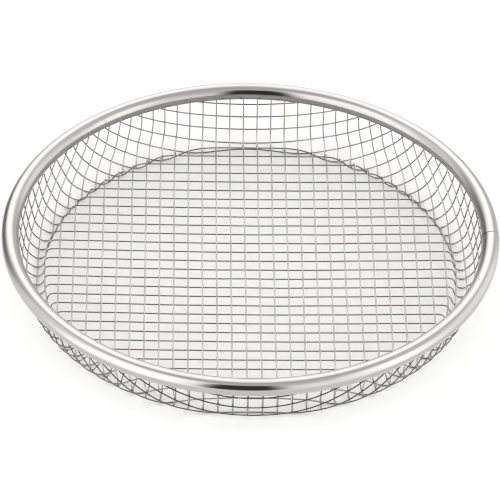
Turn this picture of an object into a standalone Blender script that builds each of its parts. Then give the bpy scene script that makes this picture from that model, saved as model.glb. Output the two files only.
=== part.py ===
"""Soil sieve: a round, shallow dish pressed from one sheet of welded wire mesh, with a rolled tube rim.

The dish has a raised flat floor, a gutter around it that the sieve stands on, and a flared wall.
Metres, +Z up. The origin is on the ground, on the dish's axis.
"""

import math

import bpy
import numpy as np
from mathutils import Vector

# Mesh
PITCH = 0.0107  # from one wire's centre to the next
WIRE_SIDE = 0.00088  # square section with the area of a 1 mm round wire
LAYER_GAP = 0.0003  # clearance between the two layers of wires where they cross
LAYER_STEP = WIRE_SIDE + LAYER_GAP  # from layer centre to layer centre
BLANK_RADIUS = 19.65 * PITCH  # the round blank that the dish is pressed from
AXIS_IN_CELL = (0.3, 0.2)  # the dish's axis within a mesh cell, in pitches
WELD_SIDE = 0.0007  # square bar that stands for a weld between two wires in the wall
TRIMMED_OFF = PITCH / 4  # a wire nearer than this to the blank's edge is left out

# Dish, as the radial section of the surface between the two layers
FLOOR_RADIUS = 0.1493
STEP_ROUNDING = 0.0049
STEP_STRAIGHT = 0.00143
STEP_SLOPE = math.radians(79)
GUTTER_ROUNDING = 0.0049
GUTTER_RISE = math.radians(32)
SHOULDER_ROUNDING = 0.0170
WALL_SLOPE = math.radians(79)
GUTTER_BOTTOM = FLOOR_RADIUS + (STEP_ROUNDING + GUTTER_ROUNDING) * STEP_SLOPE + STEP_STRAIGHT

# Rim: an oval tube rolled from strip, open at the mouth that takes the mesh's edge
RIM_RADIUS = 0.1785
RIM_WIDTH = 0.0134
RIM_HEIGHT = 0.0127
RIM_STRIP = 0.0008
RIM_ABOVE_FLOOR = 0.03165
RIM_MOUTH = math.radians(228)  # around the section, from the outer side over the top
RIM_MOUTH_HALF = math.radians(19)
RIM_SECTION_POINTS = 12
RIM_SEGMENTS = 60
RIM_CREASE = math.radians(40)  # an edge sharper than this is shaded as an edge
SEAM_ANGLE = math.radians(-1.5)
SEAM_GAP = 0.0003

# Resolution of the pressed net
NET_STEP = PITCH / 10
PROFILE_STEP = 0.00005
NEWTON_ROUNDS = 6
SHARP_TURN = math.radians(14)  # a wire that turns more than this between crossings gets a point midway
SQUARE_ON = PITCH / 4  # a wire this near the axis crosses the gutter squarely, so it carries a level foot

# Wires on each side of the middle one that are nodes of their own. Those beyond lie in the wall and gutter.
FRONT_WIRES, BACK_WIRES = 14, 14
LEFT_WIRES, RIGHT_WIRES = 14, 14


def clear_scene():
    for obj in list(bpy.data.objects):
        bpy.data.objects.remove(obj, do_unlink=True)


def steel(name, colour, roughness):
    material = bpy.data.materials.new(name)
    material.use_nodes = True
    shader = material.node_tree.nodes["Principled BSDF"]
    shader.inputs["Base Color"].default_value = (*colour, 1)
    shader.inputs["Metallic"].default_value = 1
    shader.inputs["Roughness"].default_value = roughness
    return material


def dish_profile():
    """Arc length from the axis, radius, height and slope of the pressed surface's radial section."""
    runs = [
        (FLOOR_RADIUS, 0, 0),
        (STEP_ROUNDING * STEP_SLOPE, 0, -STEP_SLOPE),
        (STEP_STRAIGHT, -STEP_SLOPE, -STEP_SLOPE),
        (GUTTER_ROUNDING * (STEP_SLOPE + GUTTER_RISE), -STEP_SLOPE, GUTTER_RISE),
        (SHOULDER_ROUNDING * (WALL_SLOPE - GUTTER_RISE), GUTTER_RISE, WALL_SLOPE),
    ]
    runs.append((BLANK_RADIUS + PITCH - sum(run[0] for run in runs), WALL_SLOPE, WALL_SLOPE))
    slopes, steps = [], []
    for length, start, end in runs:
        count = max(2, round(length / PROFILE_STEP))
        middles = (np.arange(count) + 0.5) / count
        slopes.append(start + (end - start) * middles)
        steps.append(np.full(count, length / count))
    slopes, steps = np.concatenate(slopes), np.concatenate(steps)
    along = np.concatenate([[0], np.cumsum(steps)])
    radius = np.concatenate([[0], np.cumsum(steps * np.cos(slopes))])
    height = np.concatenate([[0], np.cumsum(steps * np.sin(slopes))])
    underside = height.min() - (LAYER_STEP + WIRE_SIDE) / 2
    return along, radius, height - underside, np.concatenate([slopes, slopes[-1:]])


class Dish:
    """The pressed surface, and the square net of threads of fixed length that lies on it."""

    def __init__(self):
        self.along, self.radius, self.height, self.slope = dish_profile()
        self.floor = self.height[0]
        self.net_along, self.net_angle = self.press_net()

    def points(self, along, angle):
        radius = np.interp(along, self.along, self.radius)
        height = np.interp(along, self.along, self.height)
        return np.stack([radius * np.cos(angle), radius * np.sin(angle), height], -1)

    def nearest(self, guess):
        """Arc length of the profile's point nearest each guess, close enough for Newton's method."""
        coarse = slice(None, None, 5)
        radius, height = self.radius[coarse], self.height[coarse]
        reach = np.hypot(guess[:, 0], guess[:, 1])[:, None]
        gaps = (reach - radius) ** 2 + (guess[:, 2:] - height) ** 2
        return self.along[coarse][gaps.argmin(1)]

    def press_net(self):
        """Arc length and angle of each knot in one quarter of the net.

        The two threads through the axis stay in their own planes. Every other knot is one step
        from the knot before it along both threads.
        """
        count = math.ceil(BLANK_RADIUS / NET_STEP) + 1
        along = np.full((count, count), np.inf)
        angle = np.zeros((count, count))
        where = np.full((count, count, 3), np.nan)
        straight = np.arange(count) * NET_STEP
        along[:, 0] = along[0, :] = straight
        angle[0, :] = math.pi / 2
        where[:, 0] = self.points(straight, 0 * straight)
        where[0, :] = self.points(straight, 0 * straight + math.pi / 2)
        for diagonal in range(2, 2 * count - 1):
            i = np.arange(max(1, diagonal - count + 1), min(count - 1, diagonal - 1) + 1)
            j = diagonal - i
            known = np.isfinite(where[i - 1, j, 0]) & np.isfinite(where[i, j - 1, 0])
            i, j = i[known], j[known]
            if not len(i):
                continue
            s, t = self.next_knots(where[i - 1, j], where[i, j - 1], where[i - 1, j - 1])
            inside = s < BLANK_RADIUS
            along[i, j], angle[i, j] = np.where(inside, s, np.inf), t
            where[i, j] = np.where(inside[:, None], self.points(s, t), np.nan)
        return along, angle

    def next_knots(self, first, second, behind):
        """Newton's method for the surface's points that are one step from both given knots."""
        guess = first + second - behind
        s = self.nearest(guess)
        t = np.arctan2(guess[:, 1], guess[:, 0])
        small = NET_STEP / 1000
        for _ in range(NEWTON_ROUNDS):
            here = self.points(s, t)
            radius = np.hypot(here[:, 0], here[:, 1])
            up = (self.points(s + small, t) - self.points(s - small, t)) / (2 * small)
            round_ = np.stack([-here[:, 1], here[:, 0], 0 * s], -1)
            a, b = here - first, here - second
            miss_a = (a * a).sum(1) - NET_STEP**2
            miss_b = (b * b).sum(1) - NET_STEP**2
            aa, ab = 2 * (a * up).sum(1), 2 * (a * round_).sum(1)
            ba, bb = 2 * (b * up).sum(1), 2 * (b * round_).sum(1)
            scale = aa * bb - ab * ba
            s = s - np.clip((miss_a * bb - miss_b * ab) / scale, -NET_STEP, NET_STEP)
            turn = (miss_b * aa - miss_a * ba) / scale
            t = t - np.clip(turn, -NET_STEP / radius, NET_STEP / radius)
        return s, t

    def knot(self, u, v):
        """Arc length, point and upward normal of the knot u and v net steps from the axis."""
        s, t = self.net_along[abs(u), abs(v)], self.net_angle[abs(u), abs(v)]
        if not math.isfinite(s):
            return s, None, None
        flip = Vector((1 if u >= 0 else -1, 1 if v >= 0 else -1, 1))
        slope = np.interp(s, self.along, self.slope)
        normal = Vector((-math.sin(slope) * math.cos(t), -math.sin(slope) * math.sin(t), math.cos(slope)))
        return s, Vector(self.points(s, t)) * flip, normal * flip


def net_steps(index, axis_in_cell):
    """Net steps from the dish's axis to the wire of this index."""
    return round((index - axis_in_cell) * PITCH / NET_STEP)


def wire_path(dish, across, offset, along_x):
    """Points and normals along one wire, at its crossings, and midway between them where it bends.

    The wire lies `across` net steps from the axis, and `offset` places its crossings. Over the flat
    floor it is straight, so its crossings there need no points. A wire that crosses the gutter
    squarely is level for one net step at the gutter's bottom, where the sieve stands.
    """
    half = round(PITCH / NET_STEP / 2)
    reach = math.ceil(BLANK_RADIUS / NET_STEP)
    foot = abs(across) * NET_STEP < SQUARE_ON
    knots = []
    for place in range(-reach, reach + 1):
        s, point, normal = dish.knot(*((place, across) if along_x else (across, place)))
        if point:
            knots.append((place, s, point, normal))
    chosen = []
    for number, (place, s, point, normal) in enumerate(knots):
        if number in (0, len(knots) - 1) or (foot and abs(s - GUTTER_BOTTOM) < NET_STEP):
            chosen.append((point, normal))
        elif (place - offset) % (2 * half) == 0:
            if s > FLOOR_RADIUS - PITCH:
                chosen.append((point, normal))
        elif (place - offset) % half == 0 and half < number < len(knots) - half:
            behind, ahead = knots[number - half][2], knots[number + half][2]
            if (point - behind).angle(ahead - point) > SHARP_TURN:
                chosen.append((point, normal))
    return chosen


def wire_mesh(path, shift):
    """Vertices and faces of a square wire along a path, moved along the surface's normal by shift."""
    corners = ((-1, -1), (1, -1), (1, 1), (-1, 1))
    points, normals = zip(*path)
    vertices = []
    for k, (point, normal) in enumerate(path):
        ahead = points[min(k + 1, len(path) - 1)] - point
        behind = point - points[max(k - 1, 0)]
        along = (ahead.normalized() + behind.normalized()).normalized()
        out = (normal - along * normal.dot(along)).normalized()
        side = out.cross(along)
        centre = point + normal * shift
        vertices += [centre + (side * a + out * b) * (WIRE_SIDE / 2) for a, b in corners]
    faces = [(3, 2, 1, 0), tuple(len(vertices) - 4 + c for c in range(4))]
    for ring in range(len(path) - 1):
        base = 4 * ring
        for c in range(4):
            d = (c + 1) % 4
            faces.append((base + c, base + d, base + d + 4, base + c + 4))
    return vertices, faces


def weld_mesh(point, normal, along):
    """A short square bar that joins the two layers at one crossing."""
    side = along.cross(normal).normalized()
    ahead = normal.cross(side).normalized()
    half, lift = WELD_SIDE / 2, LAYER_STEP / 2
    corners = [(-1, -1), (1, -1), (1, 1), (-1, 1)]
    vertices = [
        point + normal * level + side * (a * half) + ahead * (b * half)
        for level in (-lift, lift)
        for a, b in corners
    ]
    faces = [(3, 2, 1, 0), (4, 5, 6, 7)]
    faces += [(c, (c + 1) % 4, (c + 1) % 4 + 4, c + 4) for c in range(4)]
    return vertices, faces


def join_meshes(meshes):
    vertices, faces = [], []
    for more_vertices, more_faces in meshes:
        start = len(vertices)
        vertices += more_vertices
        faces += [tuple(start + index for index in face) for face in more_faces]
    return vertices, faces


def add_object(name, shape, material, parent):
    mesh = bpy.data.meshes.new(name)
    mesh.from_pydata([tuple(v) for v in shape[0]], [], shape[1])
    mesh.update()
    mesh.materials.append(material)
    obj = bpy.data.objects.new(name, mesh)
    bpy.context.scene.collection.objects.link(obj)
    obj.parent = parent
    return obj


def weld_on(obj, shape):
    """Unites an object with the bodies of another shape, which may cross each other."""
    helper = add_object(obj.name + "_welded", shape, obj.data.materials[0], obj.parent)
    union = obj.modifiers.new("welds", "BOOLEAN")
    union.operation = "UNION"
    union.solver = "EXACT"
    union.use_self = True
    union.object = helper
    graph = bpy.context.evaluated_depsgraph_get()
    united = bpy.data.meshes.new_from_object(obj.evaluated_get(graph))
    obj.modifiers.clear()
    obj.data = united
    bpy.data.objects.remove(helper, do_unlink=True)


def add_wires(dish, material, parent, along_x):
    """All the wires of one direction. Those that stay in the wall are welded to the middle cross wire."""
    letter = "x" if along_x else "y"
    offset_own, offset_cross = AXIS_IN_CELL[1 if along_x else 0], AXIS_IN_CELL[0 if along_x else 1]
    crossings = net_steps(0, offset_cross)
    first = -(FRONT_WIRES if along_x else LEFT_WIRES)
    last = BACK_WIRES if along_x else RIGHT_WIRES
    shift = (-1 if along_x else 1) * LAYER_STEP / 2
    single, wall = [], []
    reach = math.ceil(BLANK_RADIUS / PITCH)
    for index in range(-reach, reach + 1):
        across = net_steps(index, offset_own)
        if abs(across) * NET_STEP > BLANK_RADIUS - TRIMMED_OFF:
            continue
        path = wire_path(dish, across, crossings, along_x)
        shape = wire_mesh(path, shift)
        if first <= index <= last:
            name = f"{letter}_wire_{index - first:02d}"
            single.append(add_object(name, shape, material, parent))
        else:
            middle = (crossings, across) if along_x else (across, crossings)
            _, point, normal = dish.knot(*middle)
            weld = weld_mesh(point, normal, Vector((1, 0, 0)) if along_x else Vector((0, 1, 0)))
            wall += [shape, weld]
    return single[-first], join_meshes(wall)


def rim_section():
    """The rim's open section, as matching points on its outer and its inner face."""
    start = RIM_MOUTH + RIM_MOUTH_HALF
    sweep = 2 * (math.pi - RIM_MOUTH_HALF)
    outer, inner = [], []
    for k in range(RIM_SECTION_POINTS + 1):
        turn = start + sweep * k / RIM_SECTION_POINTS
        for points, inset in ((outer, 0), (inner, RIM_STRIP)):
            points.append(
                (
                    (RIM_WIDTH / 2 - inset) * math.cos(turn),
                    (RIM_HEIGHT / 2 - inset) * math.sin(turn),
                )
            )
    return outer, inner


def rim_mesh(centre_height):
    """The rim: its open section carried round the dish from one side of the seam to the other."""
    outer, inner = rim_section()
    loop = outer + inner[::-1]
    count = len(loop)
    gap = SEAM_GAP / RIM_RADIUS
    vertices = []
    for k in range(RIM_SEGMENTS + 1):
        turn = SEAM_ANGLE + 2 * math.pi * k / RIM_SEGMENTS
        turn += gap / 2 if k == 0 else -gap / 2 if k == RIM_SEGMENTS else 0
        for x, z in loop:
            radius = RIM_RADIUS + x
            vertices.append(
                Vector((radius * math.cos(turn), radius * math.sin(turn), centre_height + z))
            )
    faces = []
    for k in range(RIM_SEGMENTS):
        for c in range(count):
            d = (c + 1) % count
            faces.append((k * count + d, k * count + c, (k + 1) * count + c, (k + 1) * count + d))
    end = RIM_SEGMENTS * count
    for c in range(len(outer) - 1):
        c_in, d_in = count - 1 - c, count - 2 - c
        faces.append((c + 1, d_in, c_in, c))
        faces.append((end + c, end + c_in, end + d_in, end + c + 1))
    return vertices, faces


def main():
    clear_scene()
    sieve = bpy.data.objects.new("soil_sieve", None)
    bpy.context.scene.collection.objects.link(sieve)
    wire_steel = steel("wire_steel", (0.56, 0.55, 0.53), 0.35)
    rim_steel = steel("rim_steel", (0.74, 0.73, 0.71), 0.2)
    dish = Dish()
    rim = add_object("rim_tube", rim_mesh(dish.floor + RIM_ABOVE_FLOOR), rim_steel, sieve)
    rim.data.shade_smooth()
    rim.data.set_sharp_from_angle(angle=RIM_CREASE)
    middle_x, end_wires = add_wires(dish, wire_steel, sieve, along_x=True)
    middle_y, side_wires = add_wires(dish, wire_steel, sieve, along_x=False)
    weld_on(middle_y, end_wires)
    weld_on(middle_x, side_wires)
    middle_y.name = "y_middle_wire_with_end_wall_wires"
    middle_x.name = "x_middle_wire_with_side_wall_wires"


main()
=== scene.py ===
"""Looks of the soil sieve: a dish of round, welded wires, and a rolled steel tube for its rim."""
import math

import bpy
import numpy as np
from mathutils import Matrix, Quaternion, Vector


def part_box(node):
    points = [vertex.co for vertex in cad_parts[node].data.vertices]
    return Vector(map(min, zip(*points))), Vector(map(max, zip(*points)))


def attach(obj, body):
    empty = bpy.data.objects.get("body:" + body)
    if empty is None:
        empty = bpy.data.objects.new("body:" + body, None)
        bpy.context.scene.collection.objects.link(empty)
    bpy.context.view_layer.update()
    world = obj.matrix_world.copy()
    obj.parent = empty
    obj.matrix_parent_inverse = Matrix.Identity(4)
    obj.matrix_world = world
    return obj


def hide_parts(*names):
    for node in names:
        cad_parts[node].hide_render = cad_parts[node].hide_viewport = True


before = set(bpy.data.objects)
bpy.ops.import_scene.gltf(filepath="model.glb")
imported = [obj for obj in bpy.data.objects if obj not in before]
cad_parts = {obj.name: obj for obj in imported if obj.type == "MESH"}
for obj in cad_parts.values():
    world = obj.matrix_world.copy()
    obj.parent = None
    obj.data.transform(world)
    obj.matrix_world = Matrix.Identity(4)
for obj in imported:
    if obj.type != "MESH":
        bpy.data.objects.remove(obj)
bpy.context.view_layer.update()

# Mesh, in metres, by the rule that the CAD's own wires follow
PITCH = 0.0107
AXIS_IN_CELL = (0.3, 0.2)
BLANK_RADIUS = 19.65 * PITCH
TRIMMED_OFF = PITCH / 4
FLOOR_RADIUS = 0.1493
STEP_ROUNDING = 0.0049
STEP_STRAIGHT = 0.00143
STEP_SLOPE = math.radians(79)
GUTTER_ROUNDING = 0.0049
GUTTER_RISE = math.radians(32)
SHOULDER_ROUNDING = 0.0170
WALL_SLOPE = math.radians(79)
UNDER_SURFACE = 0.00103  # from the surface between the layers down to what the sieve stands on
NET_STEP = PITCH / 10
PROFILE_STEP = 0.00005
COARSE_STEP = 5  # profile points from one to the next in the first search for a knot
NEWTON_ROUNDS = 6
WIRES_EACH_SIDE = 14  # wires on each side of the middle one that have a CAD node of their own

# Round wires
WIRE_RADIUS = 0.00051
LAYER_SHIFT = 0.00045  # less than the radius: the crossed wires are sunk into each other by welding
WELD_REACH = 0.0009
WELD_SPREAD = 0.12
WELD_SINK = 0.00006
SIDES = 10
STATIONS = (0, 0.07, 0.16, 0.33, 0.5, 0.67, 0.84, 0.93)  # along a wire, in pitches from each crossing
FLOOR_SAG = 0.0022
SAG_POWER = 1.5
WAVE_HEIGHT = 0.00006
# Each wave of the floor's wires: the axis it moves, radians per metre of x and of y, phase, and
# how fast it fades towards the floor's edge
WAVES = (
    (0, 71, 43, 0.4, 0.5),
    (1, -83, 37, 1.9, 0.5),
    (0, 29, -118, 5.1, 0.5),
    (1, 131, 23, 2.6, 0.5),
    (2, 97, -61, 0.8, 1),
)

# Rolled rim
RIM_RADIUS = 0.1785
STRIP = 0.0008
TOP_SHIFT = 0.0004  # how far outward the tube's highest line lies from its middle
MOUTH = math.radians(228)
MOUTH_HALF = math.radians(12)
LIP_ROUNDING = 0.0012
LIP_TURN = math.radians(60)
LIP_LENGTH = 0.0014
OVAL_POINTS = 68
LIP_POINTS = 6
EDGE_ANGLES = (45, 90, 135)
RING_SEGMENTS = 360
SEAM_ANGLE = math.radians(-1.5)
SEAM_GAP = 0.0004
SEAM_STEP = 0.0003  # how far the strip's last end stands out from its first
SEAM_FADE = math.radians(3)

# Rim steel: colours, reaches in metres, and roughness
RIM_STEEL = (0.465, 0.459, 0.446, 1), (0.52, 0.514, 0.503, 1)  # dull and bright
# Painted shade: the tube's inner side is darkened towards the mouth, where its own shade falls
MOUTH_SHADE_TINT = (0.20, 0.19, 0.172, 1)
MOUTH_SHADE_SHARE = 0.6
MOUTH_SHADE_REACH = 0.010  # how far up the inner side the painted shade reaches, from the mouth
MOUTH_SHADE_EDGE = 0.002  # how far the painted shade's edge wanders
SEAM_TINT = (0.21, 0.19, 0.165, 1)
SEAM_SHARE = 0.6
SEAM_REACH = 0.0005
RIM_ROUGHNESS = 0.055
RIM_LINES_ROUGHNESS = 0.05
RUBBED_ROUGHNESS = 0.07
SEAM_ROUGHNESS = 0.2
RIM_SWELL = 0.00012  # bump depths
RIM_SCRATCH = 0.000004

# Wire steel: colours, and the share of the painted shade's colour on each layer's underside
# The two layers are one steel: the upper layer's colours are a lit copy with a painted highlight, the
# lower layer's a shaded copy
SHADED_LOWER_STEEL = (0.235, 0.231, 0.223, 1), (0.355, 0.349, 0.337, 1)  # dull and bright
LIT_UPPER_STEEL = (0.42, 0.412, 0.396, 1), (0.56, 0.55, 0.53, 1)
UNDERSIDE_SHADE = (0.075, 0.073, 0.068, 1)
LOWER_SHADE = 0.8
UPPER_SHADE = 0.35
SHADE_SPREAD = (0.1, 0.3)  # turns from the middle of the underside
WELD_TINT = (0.19, 0.165, 0.135, 1), (0.33, 0.27, 0.20, 1)
WELD_TINT_SPREAD = (0.04, 0.17)  # pitches from a crossing
WELD_TINT_TURN = (0.05, 0.42)  # turns from the side that touches the other layer
WIRE_ROUGHNESS = 0.13
WIRE_LINES_ROUGHNESS = 0.14
WELD_ROUGHNESS = 0.25
WIRE_SCRATCH = 0.00001  # bump depths
WELD_CRUST = 0.00005

CREASE = math.radians(50)  # an edge sharper than this is shaded as an edge

# Camera
ELEVATION = math.radians(38.4)
AZIMUTH = math.radians(-1.43)
ROLL = math.radians(1.31)
DISTANCE = 3.01
SENSOR = 36.0
PIXEL_FILTER = 1.1
FOCAL_SIDES = 8.045  # focal length in image sides
AIM_UP = 0.0312  # how far above the dish's centre the camera aims, in image sides

# Table
TABLE_HALF = 30.0
TABLE_TINTS = (0.90, 0.90, 0.88, 1), (0.92, 0.92, 0.90, 1)
TABLE_ROUGHNESS = 0.9
TABLE_SPECULAR = 0.1
TABLE_REACH = (0.162, 0.2)  # radii where the studio's floor takes the table's place in the metal

# Light: radiance, with where it changes in degrees of elevation
TABLE_LIGHT = (2.2, 0.8)  # what the room sheds on the table, from near the horizon and from overhead
TABLE_LIGHT_RISE = (15, 65)
WALL_GLOW = 0.95
CEILING_GLOW = 0.75
CEILING_RISE = (50, 80)
FLOOR_GLOW = 1.08
FLOOR_RISE = (-15, 0)
# Each panel's azimuth from the front, half width, elevation, half height and softness, all in
# degrees, and its radiance. A later panel lies over the earlier ones.
PANELS = (
    (-100, 22, 20, 40, 12, 1.2),
    (-55, 32, 24, 38, 14, 2.03),
    (75, 62, 12, 26, 14, 1.45),
    (66, 18, 20, 30, 14, 2.05),
    (-178, 27, 42, 27, 12, 1.75),
    (152, 16, 6, 20, 10, 0.85),
    (180, 15, 14, 16, 8, 1.45),
    (180, 14, 36, 12, 8, 2.05),
    (-128, 10, 14, 22, 10, 0.65),
    (-142, 16, 4, 19, 10, 0.28),
    (-3, 16, 28, 31, 6, 0.06),
)


def dish_profile():
    """Arc length from the axis, radius, height and slope of the pressed surface's radial section."""
    runs = [
        (FLOOR_RADIUS, 0, 0),
        (STEP_ROUNDING * STEP_SLOPE, 0, -STEP_SLOPE),
        (STEP_STRAIGHT, -STEP_SLOPE, -STEP_SLOPE),
        (GUTTER_ROUNDING * (STEP_SLOPE + GUTTER_RISE), -STEP_SLOPE, GUTTER_RISE),
        (SHOULDER_ROUNDING * (WALL_SLOPE - GUTTER_RISE), GUTTER_RISE, WALL_SLOPE),
    ]
    runs.append((BLANK_RADIUS + PITCH - sum(run[0] for run in runs), WALL_SLOPE, WALL_SLOPE))
    slopes, steps = [], []
    for length, start, end in runs:
        count = max(2, round(length / PROFILE_STEP))
        middles = (np.arange(count) + 0.5) / count
        slopes.append(start + (end - start) * middles)
        steps.append(np.full(count, length / count))
    slopes, steps = np.concatenate(slopes), np.concatenate(steps)
    along = np.concatenate([[0], np.cumsum(steps)])
    radius = np.concatenate([[0], np.cumsum(steps * np.cos(slopes))])
    height = np.concatenate([[0], np.cumsum(steps * np.sin(slopes))])
    return along, radius, height - height.min() + UNDER_SURFACE, np.concatenate([slopes, slopes[-1:]])


class Dish:
    """The pressed surface, and the square net of threads of fixed length that lies on it."""

    def __init__(self):
        self.along, self.radius, self.height, self.slope = dish_profile()
        self.floor = self.height[0]
        self.net_along, self.net_angle = self.press_net()

    def points(self, along, angle):
        radius = np.interp(along, self.along, self.radius)
        height = np.interp(along, self.along, self.height)
        return np.stack([radius * np.cos(angle), radius * np.sin(angle), height], -1)

    def nearest(self, guess):
        coarse = slice(None, None, COARSE_STEP)
        radius, height = self.radius[coarse], self.height[coarse]
        reach = np.hypot(guess[:, 0], guess[:, 1])[:, None]
        gaps = (reach - radius) ** 2 + (guess[:, 2:] - height) ** 2
        return self.along[coarse][gaps.argmin(1)]

    def press_net(self):
        """Arc length and angle of each knot in one quarter of the net.

        Each knot is one step from the two before it.
        """
        count = math.ceil(BLANK_RADIUS / NET_STEP) + 1
        along = np.full((count, count), np.inf)
        angle = np.zeros((count, count))
        where = np.full((count, count, 3), np.nan)
        straight = np.arange(count) * NET_STEP
        along[:, 0] = along[0, :] = straight
        angle[0, :] = math.pi / 2
        where[:, 0] = self.points(straight, 0 * straight)
        where[0, :] = self.points(straight, 0 * straight + math.pi / 2)
        for diagonal in range(2, 2 * count - 1):
            i = np.arange(max(1, diagonal - count + 1), min(count - 1, diagonal - 1) + 1)
            j = diagonal - i
            known = np.isfinite(where[i - 1, j, 0]) & np.isfinite(where[i, j - 1, 0])
            i, j = i[known], j[known]
            if not len(i):
                continue
            s, t = self.next_knots(where[i - 1, j], where[i, j - 1], where[i - 1, j - 1])
            inside = s < BLANK_RADIUS
            along[i, j], angle[i, j] = np.where(inside, s, np.inf), t
            where[i, j] = np.where(inside[:, None], self.points(s, t), np.nan)
        return along, angle

    def next_knots(self, first, second, behind):
        """Newton's method for the surface's points that are one step from both given knots."""
        guess = first + second - behind
        s = self.nearest(guess)
        t = np.arctan2(guess[:, 1], guess[:, 0])
        small = NET_STEP / 1000
        for _ in range(NEWTON_ROUNDS):
            here = self.points(s, t)
            radius = np.hypot(here[:, 0], here[:, 1])
            up = (self.points(s + small, t) - self.points(s - small, t)) / (2 * small)
            round_ = np.stack([-here[:, 1], here[:, 0], 0 * s], -1)
            a, b = here - first, here - second
            miss_a = (a * a).sum(1) - NET_STEP**2
            miss_b = (b * b).sum(1) - NET_STEP**2
            aa, ab = 2 * (a * up).sum(1), 2 * (a * round_).sum(1)
            ba, bb = 2 * (b * up).sum(1), 2 * (b * round_).sum(1)
            scale = aa * bb - ab * ba
            s = s - np.clip((miss_a * bb - miss_b * ab) / scale, -NET_STEP, NET_STEP)
            turn = (miss_b * aa - miss_a * ba) / scale
            t = t - np.clip(turn, -NET_STEP / radius, NET_STEP / radius)
        return s, t

    def thread(self, across, along_x):
        """Places (in net steps), points and upward normals of the knots along one thread."""
        reach = self.net_along.shape[0] - 1
        place = np.arange(-reach, reach + 1)
        across = np.full_like(place, across)
        u, v = (place, across) if along_x else (across, place)
        s, t = self.net_along[abs(u), abs(v)], self.net_angle[abs(u), abs(v)]
        kept = np.isfinite(s)
        s, t, u, v = s[kept], t[kept], u[kept], v[kept]
        flip = np.stack([np.where(u >= 0, 1, -1), np.where(v >= 0, 1, -1), np.ones_like(u)], -1)
        slope = np.interp(s, self.along, self.slope)
        normal = np.stack([-np.sin(slope) * np.cos(t), -np.sin(slope) * np.sin(t), np.cos(slope)], -1)
        return place[kept], self.points(s, t) * flip, normal * flip


def net_steps(index, axis_in_cell):
    return round((index - axis_in_cell) * PITCH / NET_STEP)


def between(values, t):
    """Smooth curve through evenly spaced values, read at t."""
    k = np.clip(np.floor(t).astype(int), 0, len(values) - 2)
    f = (t - k)[:, None]
    last = len(values) - 1
    a, b, c, d = (values[np.clip(k + shift, 0, last)] for shift in (-1, 0, 1, 2))
    return b + 0.5 * f * (c - a + f * (2 * a - 5 * b + 4 * c - d + f * (3 * (b - c) + d - a)))


def settle(points):
    """The sheet's own unevenness: the floor hangs a little, and the wires wander."""
    x, y = points[:, 0], points[:, 1]
    share = np.clip(1 - (x * x + y * y) / FLOOR_RADIUS**2, 0, 1)
    moved = points.copy()
    moved[:, 2] -= FLOOR_SAG * share**SAG_POWER
    for axis, per_x, per_y, phase, fade in WAVES:
        moved[:, axis] += WAVE_HEIGHT * share**fade * np.sin(per_x * x + per_y * y + phase)
    return moved


def unit(vectors):
    return vectors / np.linalg.norm(vectors, axis=1, keepdims=True)


def round_wire(dish, across, offset, along_x):
    """Vertices, faces and marks of one wire, pinched where it is welded.

    A mark is how many pitches along the wire a corner is from a weld, and how far round from the
    side that touches the other layer.
    """
    place, points, normals = dish.thread(across, along_x)
    per_pitch = round(PITCH / NET_STEP)
    cells = np.arange((place[0] - offset) // per_pitch, (place[-1] - offset) // per_pitch + 1)
    where = (cells[:, None] + np.array(STATIONS)).ravel()
    steps = where * per_pitch + offset
    on_wire = (steps > place[0]) & (steps < place[-1])
    where, t = where[on_wire], steps[on_wire] - place[0]
    centre, up = settle(between(points, t)), unit(between(normals, t))
    ahead = unit(np.gradient(centre, axis=0))
    out = unit(up - ahead * (up * ahead).sum(1, keepdims=True))
    side = np.cross(out, ahead)
    from_weld = np.abs(where - np.round(where)) * PITCH
    weld = np.exp(-((from_weld / WELD_REACH) ** 2))
    layer = -1 if along_x else 1
    centre = centre + up * (layer * (LAYER_SHIFT - WELD_SINK * weld))[:, None]
    turns = 2 * math.pi * np.arange(SIDES) / SIDES - layer * math.pi / 2
    wide = side[:, None] * np.cos(turns)[:, None] * (1 + WELD_SPREAD * weld)[:, None, None]
    tall = out[:, None] * np.sin(turns)[:, None] * (1 - WELD_SPREAD / 2 * weld)[:, None, None]
    vertices = (centre[:, None] + WIRE_RADIUS * (wide + tall)).reshape(-1, 3)
    faces, marks = [tuple(range(SIDES))[::-1]], [(where[0], 0)] * SIDES
    for ring in range(len(where) - 1):
        for c in range(SIDES):
            d = (c + 1) % SIDES
            a, b = ring * SIDES, (ring + 1) * SIDES
            faces.append((a + c, a + d, b + d, b + c))
            low, high = c / SIDES, (c + 1) / SIDES
            here, there = where[ring], where[ring + 1]
            marks += [(here, low), (here, high), (there, high), (there, low)]
    end = (len(where) - 1) * SIDES
    faces.append(tuple(end + c for c in range(SIDES)))
    marks += [(where[-1], 0)] * SIDES
    return vertices, faces, marks


def join_shapes(shapes):
    vertices, faces, marks = [], [], []
    start = 0
    for more_vertices, more_faces, more_marks in shapes:
        vertices.append(more_vertices)
        faces += [tuple(start + index for index in face) for face in more_faces]
        marks += more_marks
        start += len(more_vertices)
    return np.concatenate(vertices), faces, marks


def add_piece(name, node, shape, material):
    """A shown piece that stands for one CAD node and rides on the part's body."""
    vertices, faces, marks = shape
    mesh = bpy.data.meshes.new(name)
    mesh.from_pydata(vertices.tolist(), [], faces)
    mesh.uv_layers.new(name="run")
    mesh.uv_layers["run"].data.foreach_set("uv", np.array(marks, np.float32).ravel())
    mesh.shade_smooth()
    mesh.set_sharp_from_angle(angle=CREASE)
    mesh.materials.append(material)
    piece = bpy.data.objects.new(name, mesh)
    bpy.context.scene.collection.objects.link(piece)
    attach(piece, "root")
    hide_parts(node)
    return piece


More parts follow.
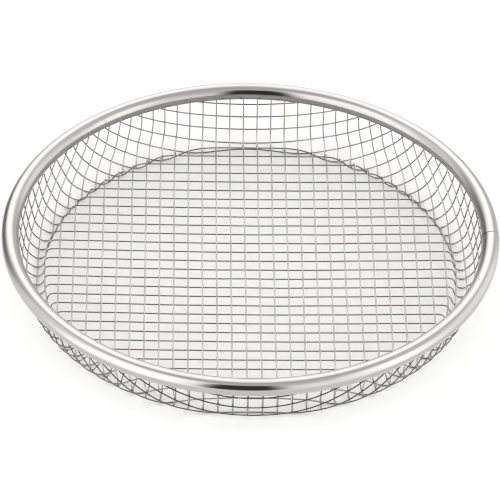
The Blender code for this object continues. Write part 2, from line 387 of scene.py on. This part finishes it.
def add_wires(dish, material, along_x):
    """One direction's wires: a piece for each that has a CAD node, and the other wires' shapes.

    Those are the middle wire's shape, and the shapes of the wall wires, which share a node with
    the middle wire that crosses them.
    """
    letter = "x" if along_x else "y"
    offset_cross, offset_own = AXIS_IN_CELL if along_x else AXIS_IN_CELL[::-1]
    reach = math.ceil(BLANK_RADIUS / PITCH)
    middle, wall = None, []
    for index in range(-reach, reach + 1):
        across = net_steps(index, offset_own)
        if abs(across) * NET_STEP > BLANK_RADIUS - TRIMMED_OFF:
            continue
        shape = round_wire(dish, across, net_steps(0, offset_cross), along_x)
        if index == 0:
            middle = shape
        elif abs(index) <= WIRES_EACH_SIDE:
            node = f"{letter}_wire_{index + WIRES_EACH_SIDE:02d}"
            add_piece(f"{node}_round", node, shape, material)
        else:
            wall.append(shape)
    return middle, wall


def strip_middle():
    """Middle line of the rolled strip in the rim's section, from its curled lip to its other edge."""
    low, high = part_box("rim_tube")
    width, height = 2 * (high.x - RIM_RADIUS) - STRIP, high.z - low.z - STRIP
    turns = np.linspace(MOUTH + MOUTH_HALF, MOUTH - MOUTH_HALF + 2 * math.pi, OVAL_POINTS)
    oval = np.stack([width / 2 * np.cos(turns), height / 2 * np.sin(turns)], -1)
    oval[:, 0] += TOP_SHIFT * np.clip(np.sin(turns), 0, 1) ** 2
    heading = math.atan2(*(oval[0] - oval[1])[::-1])
    lip = [oval[0]]
    for k in range(LIP_POINTS):
        heading -= LIP_TURN / LIP_POINTS
        step = LIP_ROUNDING * LIP_TURN / LIP_POINTS + (LIP_LENGTH if k == LIP_POINTS - 1 else 0)
        lip.append(lip[-1] + step * np.array([math.cos(heading), math.sin(heading)]))
    return np.concatenate([lip[:0:-1], oval])


def rim_section():
    """The strip's closed outline: outer face, rounded edge, inner face, rounded edge."""
    middle = strip_middle()
    ahead = unit(np.gradient(middle, axis=0)) * STRIP / 2
    outward = np.stack([ahead[:, 1], -ahead[:, 0]], -1)
    edges = []
    for end, sign in ((-1, 1), (0, -1)):
        angles = np.radians(EDGE_ANGLES)[:, None]
        rounded = outward[end] * np.cos(angles) + ahead[end] * np.sin(angles)
        edges.append(middle[end] + sign * rounded)
    outline = [middle + outward, edges[0], (middle - outward)[::-1], edges[1]]
    return np.concatenate(outline), len(middle)


def outline_run(loop):
    """Distance along the closed outline to each of its points, and back to the first."""
    return np.concatenate([[0], np.cumsum(np.linalg.norm(np.roll(loop, -1, 0) - loop, axis=1))])


def rim_shape():
    """The rim, rolled round from one side of its butt seam to the other."""
    low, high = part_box("rim_tube")
    loop, face_points = rim_section()
    count = len(loop)
    around = outline_run(loop)
    gap = SEAM_GAP / RIM_RADIUS
    turns = np.linspace(SEAM_ANGLE + gap / 2, SEAM_ANGLE + 2 * math.pi - gap / 2, RING_SEGMENTS + 1)
    step = SEAM_STEP * np.exp(-(turns[-1] - turns) / SEAM_FADE)
    radius = RIM_RADIUS + loop[None, :, 0] + step[:, None]
    height = (low.z + high.z) / 2 + loop[None, :, 1] + 0 * radius
    x, y = radius * np.cos(turns)[:, None], radius * np.sin(turns)[:, None]
    vertices = np.stack([x, y, height], -1)
    run = RIM_RADIUS * (turns - turns[0])
    faces, marks = [], []
    for k in range(RING_SEGMENTS):
        a, b = k * count, (k + 1) * count
        for c in range(count):
            d = (c + 1) % count
            faces.append((a + c, a + d, b + d, b + c))
            here, there, low, high = run[k], run[k + 1], around[c], around[c + 1]
            marks += [(here, low), (here, high), (there, high), (there, low)]
    for start, at in ((0, 0), (RING_SEGMENTS * count, -1)):
        for face in end_faces(count, face_points):
            faces.append(tuple(start + c for c in face))
            marks += [(run[at], around[c]) for c in face]
    return vertices.reshape(-1, 3), faces, marks


def end_faces(count, face_points):
    """Faces that close the strip's thickness at one end of the rim, as places on its outline."""
    inner = count - len(EDGE_ANGLES) - 1  # the inner face's point behind the outer face's first
    faces = [(c, c + 1, inner - c - 1, inner - c) for c in range(face_points - 1)]
    faces.append(tuple(range(face_points - 1, face_points + len(EDGE_ANGLES) + 1)))
    faces.append((*range(inner, count), 0))
    return faces


def add_node(tree, kind, inputs=None, **settings):
    """A shader node with its settings and inputs. An input is a value or another node's socket."""
    node = tree.nodes.new("ShaderNode" + kind)
    for key, value in settings.items():
        setattr(node, key, value)
    for key, value in (inputs or {}).items():
        if isinstance(value, bpy.types.NodeSocket):
            tree.links.new(value, node.inputs[key])
        else:
            node.inputs[key].default_value = value
    return node.outputs


def calculate(tree, operation, *values, clamp=False):
    inputs = dict(enumerate(values))
    return add_node(tree, "Math", inputs, operation=operation, use_clamp=clamp)[0]


def ramp(tree, value, low, high, to_low=0.0, to_high=1.0):
    """A smooth passage from `to_low`, where the value is `low`, to `to_high`, where it is `high`."""
    inputs = {"Value": value, "From Min": low, "From Max": high, "To Min": to_low, "To Max": to_high}
    return add_node(tree, "MapRange", inputs, interpolation_type="SMOOTHSTEP")[0]


def noise(tree, vector, scale, detail=2.0, roughness=0.5):
    inputs = {"Vector": vector, "Scale": scale, "Detail": detail, "Roughness": roughness}
    return add_node(tree, "TexNoise", inputs)["Fac"]


def blend(tree, factor, first, second):
    return add_node(tree, "Mix", {0: factor, 2: first, 3: second}, data_type="FLOAT")[0]


def blend_colours(tree, factor, first, second):
    return add_node(tree, "Mix", {0: factor, 6: first, 7: second}, data_type="RGBA")[2]


def bump(tree, height, strength, distance, normal=None):
    inputs = {"Height": height, "Strength": strength, "Distance": distance}
    if normal is not None:
        inputs["Normal"] = normal
    return add_node(tree, "Bump", inputs)[0]


def metal(name):
    """A new metallic material, its tree and shader, and the run and side marks of its piece."""
    material = bpy.data.materials.new(name)
    material.use_nodes = True
    tree = material.node_tree
    shader = tree.nodes["Principled BSDF"]
    shader.inputs["Metallic"].default_value = 1
    marks = add_node(tree, "UVMap", uv_map="run")["UV"]
    run = add_node(tree, "SeparateXYZ", {0: marks})
    return material, tree, shader, run["X"], run["Y"]


def drawn_lines(tree, run, side, along, across):
    """Fine lines that a die or a polishing wheel leaves along the metal."""
    run = calculate(tree, "MULTIPLY", run, along)
    side = calculate(tree, "MULTIPLY", side, across)
    stretched = add_node(tree, "CombineXYZ", {"X": run, "Y": side})[0]
    return noise(tree, stretched, scale=1.0, detail=3.0, roughness=0.6)


def rim_material():
    """Polished steel, cloudy and rubbed, with painted shade towards the mouth, and browned at the
    seam.
    """
    material, tree, shader, run, side = metal("polished_rim")
    place = add_node(tree, "TexCoord")["Object"]
    lines = drawn_lines(tree, run, side, along=30, across=5200)
    clouds = noise(tree, place, scale=28.0, detail=4.0, roughness=0.55)
    rubs = noise(tree, place, scale=240.0, detail=3.0, roughness=0.6)
    length = 2 * math.pi * RIM_RADIUS
    from_seam = calculate(tree, "MINIMUM", run, calculate(tree, "SUBTRACT", length, run))
    seam = ramp(tree, from_seam, 0.0, SEAM_REACH, 1.0, 0.0)
    loop, face_points = rim_section()
    mouth = outline_run(loop)[face_points - 1]
    # painted shade on the inner side, darker towards the mouth
    uneven = calculate(tree, "MULTIPLY_ADD", rubs, MOUTH_SHADE_EDGE, side)
    mouth_shade = ramp(tree, uneven, mouth - MOUTH_SHADE_REACH, mouth, 0.0, MOUTH_SHADE_SHARE)
    steel = blend_colours(tree, clouds, *RIM_STEEL)
    steel = blend_colours(tree, mouth_shade, steel, MOUTH_SHADE_TINT)
    steel = blend_colours(tree, calculate(tree, "MULTIPLY", seam, SEAM_SHARE), steel, SEAM_TINT)
    tree.links.new(steel, shader.inputs["Base Color"])
    rough = calculate(tree, "MULTIPLY_ADD", lines, RIM_LINES_ROUGHNESS, RIM_ROUGHNESS)
    rough = calculate(tree, "ADD", rough, ramp(tree, rubs, 0.5, 0.75, 0.0, RUBBED_ROUGHNESS))
    rough = calculate(tree, "MULTIPLY_ADD", seam, SEAM_ROUGHNESS, rough)
    tree.links.new(rough, shader.inputs["Roughness"])
    wobble = noise(tree, place, scale=34.0, detail=1.0)
    swell = bump(tree, wobble, 0.5, RIM_SWELL)
    tree.links.new(bump(tree, lines, 0.3, RIM_SCRATCH, swell), shader.inputs["Normal"])
    return material


def wire_material(name, dull, bright, under, shade):
    """Drawn steel between two greys, browned round its welds, with painted shade on the sheet's
    underside.

    `under` is how many turns round the wire the underside is from the side that touches the other
    layer, and `shade` is how much painted shade it gets.
    """
    material, tree, shader, run, side = metal(name)
    place = add_node(tree, "TexCoord")["Object"]
    lines = drawn_lines(tree, run, side, along=0.35, across=26)
    clouds = noise(tree, place, scale=21.0, detail=3.0, roughness=0.6)
    specks = noise(tree, place, scale=1500.0, detail=2.0, roughness=0.6)
    from_weld = calculate(tree, "PINGPONG", run, 0.5)
    uneven = calculate(tree, "MULTIPLY_ADD", specks, 0.05, from_weld)
    near = ramp(tree, uneven, *WELD_TINT_SPREAD, 1.0, 0.0)
    around = calculate(tree, "PINGPONG", side, 0.5)
    touching = ramp(tree, around, *WELD_TINT_TURN, 1.0, 0.0)
    burnt = calculate(tree, "MULTIPLY", near, touching, clamp=True)
    # painted shade: each wire is darkened on the sheet's underside
    from_under = calculate(tree, "ABSOLUTE", calculate(tree, "SUBTRACT", around, under))
    shaded = ramp(tree, from_under, *SHADE_SPREAD, shade, 0.0)
    steel = blend_colours(tree, clouds, dull, bright)
    steel = blend_colours(tree, shaded, steel, UNDERSIDE_SHADE)
    steel = blend_colours(tree, burnt, steel, blend_colours(tree, specks, *WELD_TINT))
    tree.links.new(steel, shader.inputs["Base Color"])
    rough = calculate(tree, "MULTIPLY_ADD", lines, WIRE_LINES_ROUGHNESS, WIRE_ROUGHNESS)
    rough = calculate(tree, "MULTIPLY_ADD", burnt, WELD_ROUGHNESS, rough)
    tree.links.new(rough, shader.inputs["Roughness"])
    drawn = bump(tree, lines, 0.35, WIRE_SCRATCH)
    crust = calculate(tree, "MULTIPLY", specks, burnt)
    tree.links.new(bump(tree, crust, 0.5, WELD_CRUST, drawn), shader.inputs["Normal"])
    return material


def studio():
    """The room: what the metal reflects of it, and a plainer light for the table.

    The metal sees pale walls and floor, lit and dim panels, and a dark gap on the viewer's side.
    """
    world = bpy.data.worlds.new("studio")
    bpy.context.scene.world = world
    world.use_nodes = True
    tree = world.node_tree
    direction = add_node(tree, "SeparateXYZ", {0: add_node(tree, "TexCoord")["Generated"]})
    depth = calculate(tree, "MULTIPLY", direction["Y"], -1.0)
    azimuth = calculate(tree, "ARCTAN2", direction["X"], depth)
    elevation = calculate(tree, "DEGREES", calculate(tree, "ARCSINE", direction["Z"]))
    light = ramp(tree, elevation, *CEILING_RISE, WALL_GLOW, CEILING_GLOW)
    light = blend(tree, ramp(tree, elevation, *FLOOR_RISE, 1.0, 0.0), light, FLOOR_GLOW)
    for turn, half_width, height, half_height, soft, radiance in PANELS:
        aside = calculate(tree, "COSINE", calculate(tree, "SUBTRACT", azimuth, math.radians(turn)))
        aside = calculate(tree, "DEGREES", calculate(tree, "ARCCOSINE", aside))
        above = calculate(tree, "ABSOLUTE", calculate(tree, "SUBTRACT", elevation, height))
        wide = ramp(tree, aside, half_width - soft, half_width + soft, 1.0, 0.0)
        tall = ramp(tree, above, half_height - soft, half_height + soft, 1.0, 0.0)
        light = blend(tree, calculate(tree, "MULTIPLY", wide, tall), light, radiance)
    for_table = ramp(tree, elevation, *TABLE_LIGHT_RISE, *TABLE_LIGHT)
    light = blend(tree, add_node(tree, "LightPath")["Is Diffuse Ray"], light, for_table)
    tree.links.new(light, tree.nodes["Background"].inputs["Strength"])
    tree.nodes["Background"].inputs["Color"].default_value = (1, 1, 1, 1)


def table_top():
    """The pale table. Past the dish, the metal reflects the studio's floor in its place."""
    material = bpy.data.materials.new("pale_table")
    material.use_nodes = True
    tree = material.node_tree
    shader = tree.nodes["Principled BSDF"]
    place = add_node(tree, "TexCoord")["Object"]
    grain = noise(tree, place, scale=90.0, detail=3.0)
    tree.links.new(blend_colours(tree, grain, *TABLE_TINTS), shader.inputs["Base Color"])
    shader.inputs["Roughness"].default_value = TABLE_ROUGHNESS
    shader.inputs["Specular IOR Level"].default_value = TABLE_SPECULAR
    from_axis = add_node(tree, "VectorMath", {0: place}, operation="LENGTH")["Value"]
    past = ramp(tree, from_axis, *TABLE_REACH)
    past = calculate(tree, "MULTIPLY", past, add_node(tree, "LightPath")["Is Glossy Ray"])
    clear = add_node(tree, "BsdfTransparent")[0]
    shown = add_node(tree, "MixShader", {0: past, 1: shader.outputs[0], 2: clear})[0]
    tree.links.new(shown, tree.nodes["Material Output"].inputs["Surface"])
    mesh = bpy.data.meshes.new("table")
    corners = [(x * TABLE_HALF, y * TABLE_HALF, 0) for x, y in ((-1, -1), (1, -1), (1, 1), (-1, 1))]
    mesh.from_pydata(corners, [], [(0, 1, 2, 3)])
    mesh.materials.append(material)
    table = bpy.data.objects.new("table", mesh)
    bpy.context.scene.collection.objects.link(table)


def add_camera(centre):
    data = bpy.data.cameras.new("camera")
    data.sensor_width = SENSOR
    data.lens = FOCAL_SIDES * SENSOR
    camera = bpy.data.objects.new("camera", data)
    bpy.context.scene.collection.objects.link(camera)
    level = math.cos(ELEVATION)
    back = Vector((math.sin(AZIMUTH) * level, -math.cos(AZIMUTH) * level, math.sin(ELEVATION)))
    right = Vector((math.cos(AZIMUTH), math.sin(AZIMUTH), 0))
    ahead = back.cross(right) * AIM_UP / FOCAL_SIDES - back
    camera.location = centre + back * DISTANCE
    camera.rotation_mode = "QUATERNION"
    camera.rotation_quaternion = ahead.to_track_quat("-Z", "Y") @ Quaternion((0, 0, 1), ROLL)
    bpy.context.scene.camera = camera


def main():
    dish = Dish()
    add_camera(Vector((0, 0, dish.floor)))
    add_piece("rim_rolled_tube", "rim_tube", rim_shape(), rim_material())
    # lit and shaded copies of one steel: the upper layer painted lighter, the lower darker
    lower = wire_material("lower_wire", *SHADED_LOWER_STEEL, under=0.5, shade=LOWER_SHADE)
    upper = wire_material("upper_wire", *LIT_UPPER_STEEL, under=0.0, shade=UPPER_SHADE)
    middle_x, end_wires = add_wires(dish, lower, along_x=True)
    middle_y, side_wires = add_wires(dish, upper, along_x=False)
    for middle, wall, node, material, wall_material in (
        (middle_x, side_wires, "x_middle_wire_with_side_wall_wires", lower, upper),
        (middle_y, end_wires, "y_middle_wire_with_end_wall_wires", upper, lower),
    ):
        piece = add_piece(f"{node}_round", node, join_shapes([middle, *wall]), material)
        piece.data.materials.append(wall_material)
        for face in piece.data.polygons[len(middle[1]) :]:
            face.material_index = 1
    table_top()
    studio()
    bpy.context.scene.view_settings.view_transform = "Standard"
    bpy.context.scene.cycles.filter_width = PIXEL_FILTER


main()
